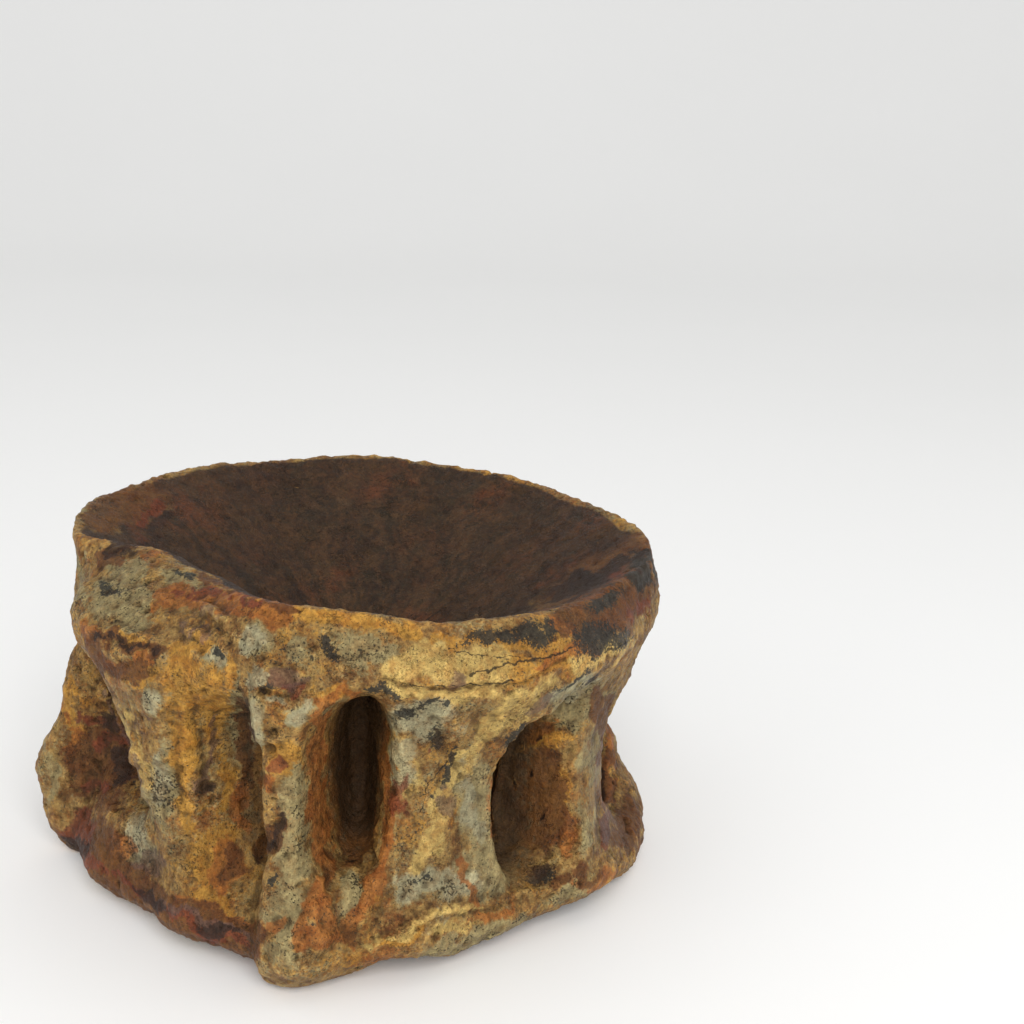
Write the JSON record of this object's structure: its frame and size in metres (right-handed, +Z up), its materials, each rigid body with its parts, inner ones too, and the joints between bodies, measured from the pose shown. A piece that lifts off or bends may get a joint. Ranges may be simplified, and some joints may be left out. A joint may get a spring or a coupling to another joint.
{
  "type": "fossil fish vertebra",
  "caption": "Life-size fossil vertebra centrum of a large fish: cupped ends, a drawn-in waist and deep pits between upright struts, standing on its lower rim.",
  "frame": {"origin": "on the floor, under the middle of the bone's box", "axes": "+Z up along the bone's own axis, from the lower cup to the upper cup, and -Y towards the front strut"},
  "size_m": [0.063, 0.0614, 0.0351],
  "materials": {
    "fossil_bone": "mineralised bone in ochre, rust brown and grey-green, with dark speckle and a thin worn varnish"
  },
  "bodies": {
    "root": {"centrum": "fossil_bone"}
  },
  "joints": []
}
